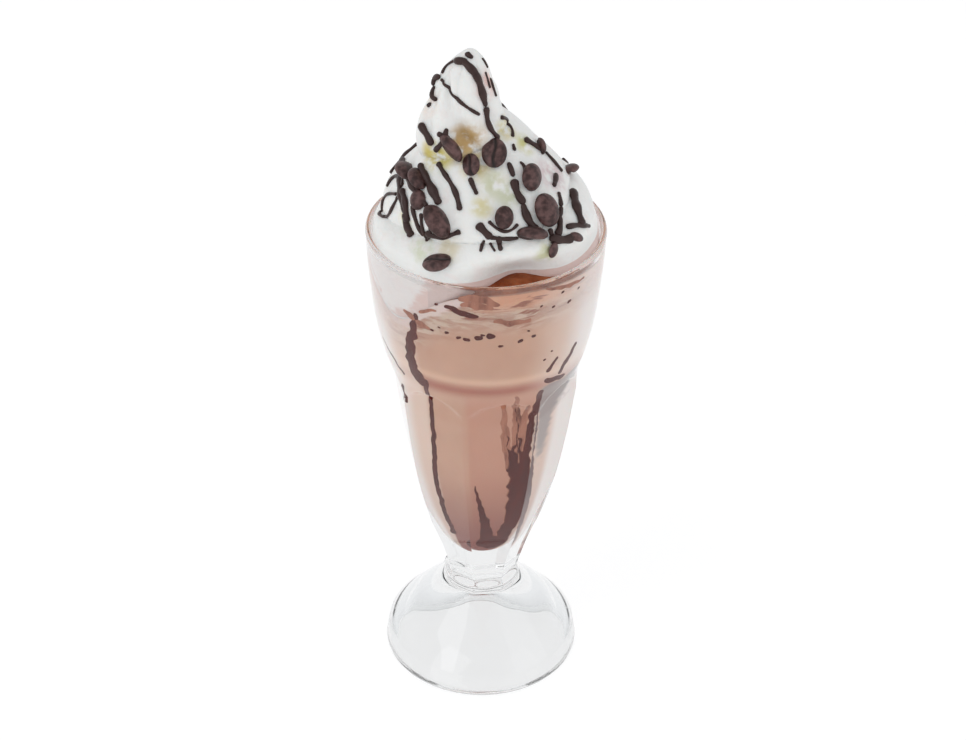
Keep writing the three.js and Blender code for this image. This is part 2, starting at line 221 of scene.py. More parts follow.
def lobe_crease(azimuth, climb):
    """The crease between the peak's main lobe and a smaller one at its left."""
    low, high = LOBE_CREASE["low"], LOBE_CREASE["high"]
    centre = LOBE_CREASE["foot"] + LOBE_CREASE["lean"] * ((climb - low) / (high - low)) ** 2
    along = ease(climb, low - 0.05, low) * (1 - ease(climb, high, high + 0.06))
    return bell(azimuth, centre, LOBE_CREASE["width"], LOBE_CREASE["depth"]) * along


def cream_surface(azimuth, climb):
    """Points of the cream's outside: climb is 0 at the glass and 1 at the peak."""
    azimuth, climb = np.broadcast_arrays(np.asarray(azimuth, float), np.clip(climb, 0, 1))
    radius = np.interp(climb, cream_shares, cream_curve[:, 0])
    height = np.interp(climb, cream_shares, cream_curve[:, 1])
    edge = 1 - ease(climb, 0, EDGE_CLIMB)
    radius = radius - edge * bare_foam(azimuth) + cream_relief(azimuth, climb, height)
    points = polar(azimuth, np.maximum(radius, 0), height)
    points[..., 0] += PEAK_LEAN * (ease(height, *LEANING) - SHARE_BACK * ease(height, *COMING_BACK))
    return points


def cream_frame(azimuth, climb):
    """Outward and uphill directions of the cream's outside."""
    step = 0.02
    uphill = unit(cream_surface(azimuth, climb + step) - cream_surface(azimuth, climb - step))
    around = unit(cream_surface(azimuth + 4, climb) - cream_surface(azimuth - 4, climb))
    return unit(np.cross(around, uphill)), uphill


class Shape:
    """Points in millimetres and the faces between them, with values noted at the points."""

    def __init__(self, rings, **notes):
        """A closed skin over rings of points, the first and the last of which are poles."""
        grid = rings.shape[:2]
        rows, columns = grid
        self.points = self.flat(rings)
        self.notes = {name: self.flat(np.broadcast_to(values, grid)) for name, values in notes.items()}
        self.faces = []
        top = len(self.points) - 1
        for column in range(columns):
            after = (column + 1) % columns
            self.faces.append((0, 1 + after, 1 + column))
            for row in range(rows - 3):
                low, high = 1 + row * columns, 1 + (row + 1) * columns
                self.faces.append((low + column, low + after, high + after, high + column))
            last = 1 + (rows - 3) * columns
            self.faces.append((last + column, last + after, top))

    @staticmethod
    def flat(rings):
        """One row of values for the points: each pole once, and the rings between them in full."""
        middle = rings[1:-1].reshape(-1, *rings.shape[2:])
        return np.concatenate([rings[0, :1], middle, rings[-1, :1]])


def make_piece(name, shapes, material, slot, *nodes, crease=None):
    """One object from shapes, which stands for CAD nodes and takes its finish from a material. Its slot is
    not used.
    """
    points, faces = [], []
    for shape in shapes:
        first = sum(len(done) for done in points)
        points.append(shape.points)
        faces += [tuple(first + corner for corner in face) for face in shape.faces]
    mesh = bpy.data.meshes.new(name)
    mesh.from_pydata((np.concatenate(points) * MM).tolist(), [], faces)
    mesh.shade_smooth()
    if crease:
        mesh.set_sharp_from_angle(angle=math.radians(crease))
    for note in shapes[0].notes:
        attribute = mesh.attributes.new(note, "FLOAT", "POINT")
        attribute.data.foreach_set("value", np.concatenate([shape.notes[note] for shape in shapes]))
    mesh.materials.append(material)
    piece = bpy.data.objects.new(name, mesh)
    bpy.context.scene.collection.objects.link(piece)
    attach(piece, "root")
    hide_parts(*nodes)


class Value:
    """A socket that adds nodes as it is reckoned with."""

    def __init__(self, paint, socket):
        self.paint = paint
        self.socket = socket

    def math(self, operation, *values):
        inputs = dict(enumerate(values))
        return self.paint.node("ShaderNodeMath", {"operation": operation}, inputs)

    def __add__(self, other):
        return self.math("ADD", self, other)

    def __mul__(self, other):
        return self.math("MULTIPLY", self, other)

    def __sub__(self, other):
        return self.math("SUBTRACT", self, other)

    def __rsub__(self, other):
        return self.math("SUBTRACT", other, self)

    __radd__ = __add__
    __rmul__ = __mul__

    def most(self, other):
        return self.math("MAXIMUM", self, other)

    def between(self, low, high):
        """0 below low and 1 above high."""
        inputs = {"Value": self, "From Min": low, "From Max": high}
        return self.paint.node("ShaderNodeMapRange", {"interpolation_type": "SMOOTHSTEP"}, inputs)


class Paint:
    """A material and short ways to add nodes to it."""

    def __init__(self, name, **constants):
        self.material = bpy.data.materials.new(name)
        self.material.use_nodes = True
        self.tree = self.material.node_tree
        self.shader = self.tree.nodes["Principled BSDF"]
        for word, value in constants.items():
            self.shader.inputs[self.socket_name(word)].default_value = value

    @staticmethod
    def socket_name(word):
        """A shader's socket, such as Specular IOR Level, from a word such as specular_ior_level."""
        return word.replace("_", " ").title().replace("Ior", "IOR")

    def node(self, kind, settings=None, inputs=None, output=0):
        """Adds a node with its settings, then the values or links of its sockets."""
        made = self.tree.nodes.new(kind)
        for setting, value in (settings or {}).items():
            setattr(made, setting, value)
        for socket, value in (inputs or {}).items():
            self.feed(made.inputs[socket], value)
        return Value(self, made.outputs[output])

    def feed(self, socket, value):
        """Links a value to a socket, or sets the socket to a plain number or vector."""
        if isinstance(value, Value):
            self.tree.links.new(value.socket, socket)
        else:
            socket.default_value = value

    def place(self):
        """Position on the object, in metres."""
        return self.node("ShaderNodeTexCoord", output="Object")

    def note(self, name):
        """A value noted at the mesh's points."""
        return self.node("ShaderNodeAttribute", {"attribute_name": name}, output="Fac")

    def clouds(self, size, detail=3.0, squeeze=(1, 1, 1), warp=0.0):
        """Soft random blotches of a size in millimetres."""
        place = self.node(
            "ShaderNodeVectorMath", {"operation": "MULTIPLY"}, {0: self.place(), 1: squeeze}
        )
        inputs = {"Vector": place, "Scale": 1 / (size * MM), "Detail": detail, "Distortion": warp}
        return self.node("ShaderNodeTexNoise", inputs=inputs)

    def bubbles(self, size):
        """Distance to the nearest of scattered points, a size in millimetres apart."""
        inputs = {"Vector": self.place(), "Scale": 1 / (size * MM)}
        return self.node("ShaderNodeTexVoronoi", inputs=inputs)

    def near(self, point, reach):
        """1 at a point in millimetres, fading to 0 at its reach."""
        centre = [value * MM for value in point]
        distance = self.node(
            "ShaderNodeVectorMath", {"operation": "DISTANCE"}, {0: self.place(), 1: centre}, output="Value"
        )
        full_within = 0.2
        return 1 - distance.between(full_within * reach * MM, reach * MM)

    def mix(self, share, colour, other):
        """A colour, turning into the other one as share goes from 0 to 1."""
        inputs = {0: share, 6: self.colour(colour), 7: self.colour(other)}
        return self.node("ShaderNodeMix", {"data_type": "RGBA"}, inputs, output=2)

    @staticmethod
    def colour(value):
        """What a colour socket takes: a linked value, or red, green and blue with a full alpha."""
        return value if isinstance(value, Value) else (*value, 1)

    def bump(self, height, depth, normal=None):
        """Relief of a depth in millimetres."""
        inputs = {"Height": height, "Distance": depth * MM, "Strength": 1.0}
        if normal:
            inputs["Normal"] = normal
        return self.node("ShaderNodeBump", inputs=inputs)

    def finish(self, **links):
        """Links values to the shader's sockets and gives the finished material."""
        for word, value in links.items():
            self.feed(self.shader.inputs[self.socket_name(word)], value)
        return self.material


# Materials

def clear_glass():
    """Clear pressed glass with faint waves. Lamps and soft light pass it straight to what it holds."""
    paint = Paint(
        "clear_pressed_glass",
        base_color=(0.84, 0.845, 0.845, 1),
        roughness=0.0,
        ior=1.5,
        transmission_weight=1.0,
        specular_ior_level=0.35,
    )
    waves = paint.clouds(14, detail=1.0)
    paint.finish(normal=paint.bump(waves, 0.12))
    through = paint.node("ShaderNodeBsdfTransparent", inputs={"Color": (0.95, 0.95, 0.95, 1)})
    path = "ShaderNodeLightPath"
    light = paint.node(path, output="Is Shadow Ray").most(paint.node(path, output="Is Diffuse Ray"))
    glass = Value(paint, paint.shader.outputs["BSDF"])
    surface = paint.node("ShaderNodeMixShader", inputs={0: light, 1: glass, 2: through})
    paint.feed(paint.tree.nodes["Material Output"].inputs["Surface"], surface)
    return paint.material


# Colours laid over the drink's body, in this order, each with the note that places it and its strength. The
# first is painted shade behind the glass's front panel, the rings are painted light and shade from its
# shoulder, and the pale tints of the sides are painted reflection of its edges
BODY_TINTS = [
    ("front_panel_shade", 0.5, (0.52, 0.225, 0.16)),
    ("depth", 1.0, (0.25, 0.085, 0.07)),
    ("bright_ring", 0.8, (0.73, 0.47, 0.34)),
    ("dark_ring", 0.85, (0.38, 0.12, 0.085)),
    # painted reflection of the glass's edges on the drink's sides
    ("side_reflection", 0.65, (0.82, 0.66, 0.57)),
    ("edge_reflection", 0.8, (0.85, 0.80, 0.78)),
]


def shake():
    """Pale chocolate drink: a peach foam with brown marbling on top, darker towards the bottom."""
    paint = Paint("chocolate_shake", subsurface_weight=0.15, subsurface_scale=0.002, specular_ior_level=0.05)
    cloud = paint.clouds(9, detail=4.0)
    marble = paint.clouds(7, detail=4.0, squeeze=(0.5, 0.5, 1.6), warp=1.5)
    streaks = paint.clouds(5, detail=3.0, squeeze=(0.4, 0.4, 1.5), warp=1)
    foam = paint.note("foam")
    body = paint.mix(cloud, (0.52, 0.295, 0.21), (0.62, 0.37, 0.265))
    for note, strength, tint in BODY_TINTS:
        body = paint.mix(paint.note(note) * strength, body, tint)
    colour = paint.mix(foam, body, froth_colour(paint, marble, streaks))
    washed = (paint.note("cream_wash") + (marble - 0.5) * 1.1).between(0.35, 0.65)
    colour = paint.mix(washed, colour, (0.70, 0.56, 0.52))
    # A grey patch over the drink's right side
    grey_patch_share = (paint.note("grey_patch") + (streaks - 0.5) * 1.2).between(0.2, 0.8)
    colour = paint.mix(grey_patch_share * 0.85, colour, (0.27, 0.23, 0.23))
    ledge = paint.mix(cloud.between(0.35, 0.65), (0.20, 0.045, 0.015), (0.36, 0.11, 0.045))
    colour = paint.mix(paint.note("ledge"), colour, ledge)
    froth_bump = paint.bubbles(1.3) * (foam + 0.15)
    normal = paint.bump(froth_bump, 0.2, paint.bump(paint.clouds(0.8, detail=2.0), 0.01))
    return paint.finish(base_color=colour, normal=normal, roughness=0.35 + cloud * 0.25)


def froth_colour(paint, marble, streaks):
    """Marbled froth, redder at the right, streaked with sauce, and made paler towards its sides by a painted
    reflection.
    """
    froth = paint.mix(marble.between(0.42, 0.62), (0.47, 0.28, 0.21), (0.60, 0.45, 0.36))
    froth = paint.mix(paint.note("rim_foam") * 0.85, froth, (0.66, 0.33, 0.21))
    froth = paint.mix(streaks.between(0.54, 0.66), froth, (0.32, 0.13, 0.09))
    froth = paint.mix(paint.note("side_reflection") * 0.6, froth, (0.80, 0.66, 0.60))
    return paint.mix(paint.note("edge_reflection") * 0.7, froth, (0.80, 0.70, 0.67))


# Patches on the cream, partly sauce stains and partly painted shade in its hollows and under overhangs: a
# place by azimuth and climb, a reach in millimetres and a colour
STAINS_AND_SHADE = [
    ((4, 0.61), 9, (0.50, 0.33, 0.14)),
    ((-11, 0.573), 9, (0.55, 0.37, 0.16)),
    ((2, 0.505), 8, (0.62, 0.50, 0.20)),
    ((-40, 0.512), 8, (0.54, 0.47, 0.10)),
    ((-48, 0.525), 7, (0.60, 0.50, 0.14)),
    ((70, 0.608), 7, (0.66, 0.58, 0.30)),
    ((73, 0.53), 6, (0.58, 0.56, 0.26)),
    ((14, 0.427), 8, (0.60, 0.60, 0.44)),
    ((22, 0.372), 7, (0.60, 0.61, 0.46)),
    ((-1, 0.338), 6, (0.66, 0.60, 0.36)),
    ((-55, 0.19), 7, (0.68, 0.66, 0.46)),
    ((-37, 0.11), 8, (0.66, 0.68, 0.54)),
    ((34, 0.107), 7, (0.60, 0.60, 0.38)),
    ((70, 0.38), 10, (0.62, 0.48, 0.49)),
    ((50, 0.83), 8, (0.74, 0.52, 0.48)),
    ((-21, 0.14), 7, (0.70, 0.64, 0.50)),
    ((-70, 0.715), 7, (0.80, 0.72, 0.66)),
]


def whipped_cream():
    """Soft satin cream with a faint blush, sauce stains and painted shade in its hollows, tinted by the drink
    at the wall.
    """
    paint = Paint(
        "soft_whipped_cream",
        subsurface_weight=0.3,
        subsurface_scale=0.003,
        subsurface_radius=(1.0, 0.8, 0.7),
    )
    soft = paint.clouds(10, detail=3.0)
    blush = paint.clouds(6, detail=3.0, warp=1).between(0.5, 0.75)
    patches = paint.clouds(4).between(0.3, 0.6)
    marble = paint.clouds(6, detail=4.0, squeeze=(0.6, 0.6, 1.5), warp=1.5)
    colour = paint.mix(soft, (0.76, 0.76, 0.735), (0.85, 0.845, 0.83))
    colour = paint.mix(blush * 0.5, colour, (0.80, 0.72, 0.70))
    # Sauce stains, and painted shade where hollows and overhangs darken the cream
    for place, reach, tint in STAINS_AND_SHADE:
        colour = paint.mix(paint.near(cream_surface(*place), reach) * patches, colour, tint)
    colour = paint.mix(paint.note("against_wall") * 0.5, colour, (0.76, 0.66, 0.64))
    washed = (paint.note("washed") + (marble - 0.5) * 1.3).between(0.3, 0.8)
    colour = paint.mix(washed, colour, (0.70, 0.53, 0.49))
    pores = paint.clouds(0.7, detail=2.0)
    folds = paint.clouds(3.5, detail=2.0, warp=0.5)
    normal = paint.bump(folds, 0.5, paint.bump(pores, 0.06))
    return paint.finish(base_color=colour, normal=normal, roughness=0.42 + soft * 0.2)


def sauce():
    """Thick chocolate sauce, near black and glossy."""
    paint = Paint("thick_chocolate_sauce", specular_ior_level=0.25)
    tone = paint.clouds(3, detail=2.0)
    colour = paint.mix(tone, (0.020, 0.009, 0.008), (0.060, 0.030, 0.027))
    return paint.finish(base_color=colour, normal=paint.bump(tone, 0.2), roughness=0.25 + tone * 0.2)


def bean_chocolate():
    """Dark chocolate with a dull shine, browner in patches, and near black in its groove by painted shade."""
    paint = Paint("bean_chocolate", specular_ior_level=0.3)
    tone = paint.clouds(2.5, detail=3.0)
    colour = paint.mix(tone.between(0.3, 0.75), (0.030, 0.012, 0.011), (0.135, 0.070, 0.066))
    # Painted shade in the groove
    colour = paint.mix(paint.note("groove"), colour, (0.012, 0.008, 0.007))
    grain = paint.clouds(0.5, detail=2.0)
    return paint.finish(base_color=colour, normal=paint.bump(grain, 0.05), roughness=0.3 + tone * 0.25)


def syrup():
    """Chocolate syrup run down inside the glass: dark in the middle, red-brown where it thins out."""
    paint = Paint("chocolate_syrup", specular_ior_level=0.05)
    tone = paint.clouds(3, detail=3.0, squeeze=(1, 1, 0.25))
    thin = (paint.note("thinness") + (tone - 0.5) * 0.7).between(0.65, 1.05)
    thick = paint.mix(tone, (0.035, 0.002, 0.001), (0.13, 0.012, 0.006))
    colour = paint.mix(thin, thick, (0.40, 0.165, 0.105))
    return paint.finish(base_color=colour, normal=paint.bump(tone, 0.1), roughness=0.3 + tone * 0.2)


# Pieces

def round_off(centre, radius, start, end, steps):
    """Points of an arc in the profile."""
    angles = np.radians(np.linspace(start, end, steps))
    return [(centre[0] + radius * math.cos(angle), centre[1] + radius * math.sin(angle)) for angle in angles]


def panel_factor(azimuth, height):
    """How far the round wall is drawn in to a flat panel, as a share of the radius."""
    half = PANEL_ANGLE / 2
    from_middle = (azimuth - FIRST_RIDGE) % PANEL_ANGLE - half
    flat = math.cos(math.radians(half)) / np.cos(np.radians(from_middle))
    arch = ARCH_TOP - ARCH_DROP * (from_middle / half) ** 2
    share = (1 - ease(height, arch - ARCH_EDGE, arch)) * ease(height, PANEL_FOOT, PANEL_FOOT + PANEL_RUN_OUT)
    return 1 + (flat - 1) * share


def glass_shape():
    """One pressed piece: a lathe whose outer wall is drawn in to flat panels."""
    columns = 32 * PANEL_COUNT
    rim_round = RIM_WALL / 2
    outside = [
        *smooth_curve(HOLLOW, 50),
        *round_off((FOOT_RADIUS - FOOT_EDGE, FOOT_EDGE), FOOT_EDGE, -90, 20, 12),
        *smooth_curve(DOME, 56),
        *smooth_curve(BOWL, 60)[1:],
        *smooth_curve(SHOULDER, 60)[1:],
    ]
    rim = round_off((RIM_RADIUS - rim_round, GLASS_HEIGHT - rim_round), rim_round, 20, 160, 10)
    inside = smooth_curve(INSIDE, 96)
    profile = np.array([*outside, *rim, *inside])
    azimuth = FIRST_RIDGE + np.linspace(0, 360, columns, endpoint=False)
    radius, height = profile[:, :1], profile[:, 1:]
    factor = panel_factor(azimuth, height)
    factor[len(outside):] = 1
    return Shape(polar(azimuth, radius * factor, height))


def drink_shape():
    """The drink, reaching just into the glass's wall, so that no air shows between them."""
    wall_rows, top_rows, columns = 190, 39, 256
    crowding_at_floor = 1.2
    azimuth = np.linspace(0, 360, columns, endpoint=False)
    edge = meeting_height(azimuth, 1)
    floor = BOWL_FLOOR - WALL_REACH
    rise = np.linspace(0, 1, wall_rows)[:, None] ** crowding_at_floor
    wall_height = floor + (edge - floor) * rise
    wall_radius = inner_radius(wall_height) + WALL_REACH * ease(wall_height, floor, floor + 1)
    wall_radius[0] = 0
    share = np.linspace(1, 0, top_rows + 1)[1:, None]
    radius = np.concatenate([wall_radius, share * wall_radius[-1]])
    height = np.concatenate([wall_height, meeting_height(azimuth, share)])
    on_top = np.concatenate([np.zeros((wall_rows, 1)), np.ones((top_rows, 1))])
    notes = drink_notes(azimuth, height, edge - height, on_top)
    return Shape(polar(azimuth, radius, height), **notes)


def drink_notes(azimuth, height, below_edge, on_top):
    """Where each colour of the drink lies, by azimuth, height and how far it is below the foam's edge.

    The numbers given to ease are the azimuths or heights between which a colour fades in or out.
    """
    side = azimuth_of(azimuth)
    behind = ease(np.abs(side), *BEHIND)
    at_wall = (1 - on_top) * (1 - behind)
    under_shoulder = 1 - ease(height, ARCH_TOP, ARCH_TOP + 6)
    left_ridge = FIRST_RIDGE
    right_ridge = FIRST_RIDGE + PANEL_ANGLE
    # Painted reflection of the glass's edges on the drink's sides: a pale band, and a paler, greyer one
    # further out
    side_reflection_left = ease(-side, 36, 42)
    side_reflection_right = 0.7 * ease(side, 33, 38) * under_shoulder + 0.8 * ease(side, 20, 44) * ease(height, 146, 152)
    edge_reflection_left = ease(-side, 50, 66)
    edge_reflection_right = ease(side, 40, 62) * ease(height, 140, 165) + ease(side, 50, 64) * under_shoulder
    # A grey patch on the drink's right side: a stem, with a wider head above it
    patch_stem = bell(side, 44, 8, 1.2) * ease(height, 96, 130)
    patch_head = bell(side, 60, 14, 1.1) * ease(height, 126, 140)
    return {
        "foam": np.maximum(1 - ease(below_edge, 8, 20), on_top),
        "cream_wash": (1 - ease(below_edge, 0, 9)) * ease(-side, -6, 20) * at_wall,
        "rim_foam": (1 - ease(below_edge, 3, 9)) * ease(side, -12, 4) * at_wall,
        "ledge": on_top,
        "depth": 1 - ease(height, 57, 116),
        "bright_ring": ring(height, BRIGHT_RING),
        "dark_ring": ring(height, DARK_RING),
        # Painted shade on the drink behind the glass's front panel, between its two ridges and under the
        # shoulder
        "front_panel_shade": crossing(side, left_ridge) * (1 - crossing(side, right_ridge)) * under_shoulder,
        # Painted reflection of the glass's edges on the drink's sides
        "side_reflection": (side_reflection_left + side_reflection_right) * (1 - behind),
        "edge_reflection": np.clip(edge_reflection_left + edge_reflection_right, 0, 1) * (1 - behind),
        "grey_patch": (patch_stem + patch_head) * (1 - ease(height, 146, 150)),
    }


def ring(height, band):
    """1 at the middle of a band round the glass, fading out over its width to each side."""
    return np.exp(-(((height - band["height"]) / band["width"]) ** 2))


def crossing(side, ridge):
    """0 to the left of a ridge between two panels and 1 to its right."""
    blur = 2.5
    return ease(side, ridge - blur, ridge + blur)


def azimuth_of(azimuth):
    """An azimuth from -180 to 180 degrees."""
    return (azimuth + 180) % 360 - 180


def cream_shape():
    """The cream, from where it lies on the foam and the wall up to its peak."""
    floor_rows, side_rows, outside_rows, columns = 12, 39, 209, 360
    sunk = 1.0
    azimuth = np.linspace(0, 360, columns, endpoint=False)
    edge = cream_surface(azimuth, 0)
    edge_radius = np.hypot(edge[:, 0], edge[:, 1])
    bare = bare_foam(azimuth)
    wall = inner_radius(meeting_height(azimuth, 1)) + WALL_REACH
    footing = np.minimum(edge_radius, wall - bare)
    under = np.linspace(0, 1, floor_rows)[:, None]
    floor = polar(azimuth, under * footing, meeting_height(azimuth, under * footing / wall) - sunk)
    up = np.linspace(0, 1, side_rows + 1)[1:, None]
    bottom = meeting_height(azimuth, footing / wall) - sunk
    height = bottom + (CREAM_CONTACT - bottom) * up
    against_wall = inner_radius(height) + WALL_REACH - bare
    leaving = ease(height, CREAM_CONTACT - 3, CREAM_CONTACT)
    radius = against_wall + (edge_radius - against_wall) * leaving
    climb = np.linspace(0, 1, outside_rows + 1)[1:, None]
    outside = cream_surface(azimuth, climb)
    before, after = np.zeros((floor_rows, columns)), np.zeros((outside_rows, columns))
    washed = washed_share(azimuth, height - meeting_height(azimuth, 1))
    touching = np.ones(height.shape) * np.exp(-bare)
    notes = {
        "washed": np.concatenate([before, washed, after]),
        "against_wall": np.concatenate([before, touching, after]),
    }
    return Shape(np.concatenate([floor, polar(azimuth, radius, height), outside]), **notes)


def washed_share(azimuth, above_foam):
    """How far the drink has coloured the cream that lies against the wall, most towards the front."""
    side = azimuth_of(azimuth)
    toward_front = ease(side, -46, -26) * (1 - ease(side, *BEHIND))
    most = 0.45 + 0.55 * toward_front
    return np.clip(most - ease(above_foam, 2, 9 + 14 * toward_front), 0, 1)


# Beans as in the CAD: turn leans the long axis clockwise from uphill, roll is 0 with the round back
# outwards, 90 on edge and 180 with the groove outwards
BEANS = [
    {"azimuth": 28, "climb": 0.54, "turn": 34, "roll": 172, "length": 11.4},
    {"azimuth": -3, "climb": 0.505, "turn": 0, "roll": 150, "length": 8.4},
    {"azimuth": -23, "climb": 0.57, "turn": -36, "roll": 92, "length": 11.6},
    {"azimuth": 46, "climb": 0.425, "turn": 64, "roll": 20, "length": 11},
    {"azimuth": 85, "climb": 0.485, "turn": 54, "roll": 60, "length": 6.6},
    {"azimuth": 96, "climb": 0.3, "turn": -68, "roll": 90, "length": 8.6},
    {"azimuth": 41, "climb": 0.285, "turn": 12, "roll": 5, "length": 12.4},
    {"azimuth": 12, "climb": 0.288, "turn": 32, "roll": 20, "length": 9},
    {"azimuth": 27, "climb": 0.195, "turn": -72, "roll": 85, "length": 11.8},
    {"azimuth": 53, "climb": 0.133, "turn": -66, "roll": 60, "length": 6.2},
    {"azimuth": 37, "climb": 0.122, "turn": 16, "roll": 20, "length": 6},
    {"azimuth": -25, "climb": 0.09, "turn": 72, "roll": 130, "length": 11},
    {"azimuth": -30, "climb": 0.255, "turn": -44, "roll": 70, "length": 13.4},
    {"azimuth": -47, "climb": 0.317, "turn": -26, "roll": 10, "length": 7.6},
    {"azimuth": -54, "climb": 0.398, "turn": -54, "roll": 70, "length": 9.6},
    {"azimuth": -73, "climb": 0.372, "turn": -80, "roll": 85, "length": 11},
    {"azimuth": 150, "climb": 0.4, "turn": 35, "roll": 170, "length": 10.8},
    {"azimuth": 172, "climb": 0.2, "turn": 70, "roll": 10, "length": 11.4},
    {"azimuth": -142, "climb": 0.34, "turn": -30, "roll": 10, "length": 10.2},
    {"azimuth": -160, "climb": 0.58, "turn": 10, "roll": 160, "length": 9.6},
]


def turned(vector, axis, angle):
    """A vector turned about an axis by an angle in degrees."""
    return np.array(Quaternion(Vector(axis), math.radians(angle)) @ Vector(vector))


def bean_shape(azimuth, climb, turn, roll, length):
    """A coffee bean of chocolate: one side round, the other flatter with a crooked groove along it."""
    outward, uphill = cream_frame(azimuth, climb)
    along = turned(uphill, outward, -turn)
    face = turned(-outward, along, roll)
    across = np.cross(along, face)
    centre = cream_surface(azimuth, climb) + outward * BEAN_LIFT * length
    rows, columns = 49, 64
    end_angle = np.radians(np.linspace(0, 180, rows))[:, None]
    side_angle = np.radians(np.linspace(0, 360, columns, endpoint=False))
    x = np.sin(end_angle) * np.cos(side_angle)
    y = np.broadcast_to(-np.cos(end_angle), x.shape)
    z = np.sin(end_angle) * np.sin(side_angle)
    from_groove = x - GROOVE["sway"] * np.sin(GROOVE["turns"] * y)
    cut = np.exp(-((from_groove / GROOVE["width"]) ** 2))
    z = np.where(z > 0, FLAT_SIDE * z - GROOVE["depth"] * z * cut, z)
    half = length / 2
    rings = (
        centre
        + across * (x * half * BEAN_WIDTH)[..., None]
        + along * (y * half)[..., None]
        + face * (z * half * BEAN_THICKNESS)[..., None]
    )
    # Where shade is painted into the groove
    groove = cut * (np.sin(side_angle) > 0)
    return Shape(rings[:, ::-1], groove=groove[:, ::-1])


# Strands of sauce, each from one azimuth and climb to another, bent sideways by its sway and uphill by
# its rise. The thick ones are those of the CAD
STRANDS = [
    {"start": (-83, 0.912), "end": (27, 0.868), "sway": 12, "rise": 0.04, "width": 2.6},
    {"start": (12, 0.902), "end": (39, 0.74), "sway": 9, "width": 2.6},
    {"start": (39, 0.74), "end": (47, 0.585), "sway": -6, "width": 2.2},
    {"start": (-83, 0.83), "end": (-89, 0.782), "sway": -11, "width": 2.4},
    {"start": (-89, 0.782), "end": (-61, 0.745), "sway": -5, "rise": -0.014, "width": 1.8},
    {"start": (-69, 0.633), "end": (-46, 0.565), "sway": 2, "rise": 0.008, "width": 2.6},
    {"start": (-26, 0.66), "end": (-44, 0.54), "sway": 4, "width": 1.8},
    {"start": (77, 0.545), "end": (85, 0.458), "width": 2.1},
    {"start": (37, 0.503), "end": (33, 0.448), "width": 1.8},
    {"start": (32, 0.44), "end": (30, 0.33), "sway": -2, "width": 2.7},
    {"start": (29, 0.333), "end": (32, 0.195), "sway": -3, "width": 3},
    {"start": (54, 0.27), "end": (42, 0.17), "rise": -0.014, "width": 2.4},
    {"start": (75, 0.367), "end": (60, 0.352), "width": 1.9},
    {"start": (60, 0.323), "end": (54, 0.268), "width": 1.8},
    {"start": (81, 0.247), "end": (61, 0.155), "sway": -3, "rise": 0.018, "width": 3.3},
    {"start": (50, 0.185), "end": (68, 0.125), "rise": 0.011, "width": 1.9},
    {"start": (-42, 0.485), "end": (-16, 0.323), "sway": 6, "rise": 0.023, "width": 1.9},
    {"start": (-5, 0.275), "end": (3, 0.215), "width": 2.8},
    {"start": (37, 0.173), "end": (51, 0.138), "rise": -0.007, "width": 3},
    {"start": (7, 0.223), "end": (8, 0.16), "width": 1.8},
    {"start": (40, 0.2), "end": (38, 0.145), "width": 1.9},
    {"start": (-54, 0.23), "end": (-49, 0.118), "width": 3.2},
    {"start": (-67, 0.3), "end": (-51, 0.193), "sway": 2, "rise": 0.021, "width": 2.8},
    {"start": (-60, 0.453), "end": (-31, 0.328), "sway": 2, "rise": 0.012, "width": 3},
    {"start": (-37, 0.185), "end": (-15, 0.233), "rise": -0.02, "width": 2},
    {"start": (-100, 0.338), "end": (-39, 0.305), "sway": 3, "rise": 0.043, "width": 2.4},
    {"start": (-83, 0.312), "end": (-52, 0.223), "rise": 0.011, "width": 2.4},
    {"start": (-76, 0.398), "end": (-44, 0.343), "width": 2},
]
THIN_STRANDS = [
    {"start": (-36, 0.973), "end": (15, 0.955), "width": 1.8},
    {"start": (-87, 0.843), "end": (-83, 0.917), "sway": -9, "width": 1.1},
    {"start": (-6, 0.463), "end": (-3, 0.393), "width": 1.6},
    {"start": (-102, 0.29), "end": (-70, 0.31), "rise": 0.02, "width": 1.6},
    {"start": (-51, 0.28), "end": (-39, 0.155), "rise": 0.009, "width": 1.6},
    {"start": (-79, 0.825), "end": (25, 0.72), "sway": 10, "rise": 0.012, "width": 1.2},
    {"start": (-70, 0.725), "end": (-72, 0.705), "width": 1.6},
    {"start": (-37, 0.635), "end": (-23, 0.62), "width": 1.6},
    {"start": (69, 0.938), "end": (66, 0.89), "width": 1},
    {"start": (47, 0.888), "end": (56, 0.81), "width": 0.9},
    {"start": (62, 0.85), "end": (66, 0.763), "sway": 3, "width": 1.1},
    {"start": (64, 0.672), "end": (67, 0.57), "sway": 17, "width": 1.3},
    {"start": (61, 0.547), "end": (54, 0.527), "width": 1.6},
    {"start": (85, 0.458), "end": (83, 0.35), "width": 1.5},
    {"start": (49, 0.49), "end": (43, 0.445), "sway": 3, "width": 1.3},
    {"start": (2, 0.285), "end": (20, 0.26), "rise": -0.033, "width": 1.2},
    {"start": (2, 0.22), "end": (19, 0.195), "width": 1.6},
    {"start": (-1, 0.205), "end": (-3, 0.152), "width": 1.2},
    {"start": (2, 0.188), "end": (5, 0.158), "width": 1},
    {"start": (-42, 0.268), "end": (-37, 0.138), "width": 1.5},
    {"start": (-35, 0.242), "end": (-37, 0.135), "sway": 2, "width": 1.5},
    {"start": (-73, 0.25), "end": (-86, 0.088), "sway": -5, "rise": 0.019, "width": 1.3},
    {"start": (-86, 0.088), "end": (-70, 0.253), "sway": 4, "rise": -0.038, "width": 1.3},
    {"start": (-99, 0.245), "end": (-100, 0.33), "sway": -3, "width": 1.5},
    {"start": (-89, 0.217), "end": (-79, 0.318), "sway": -4, "rise": 0.016, "width": 1.5},
]
BACK_STRANDS = 7
BACK_START = 112
BACK_SWEEP = 142
SEED = 7


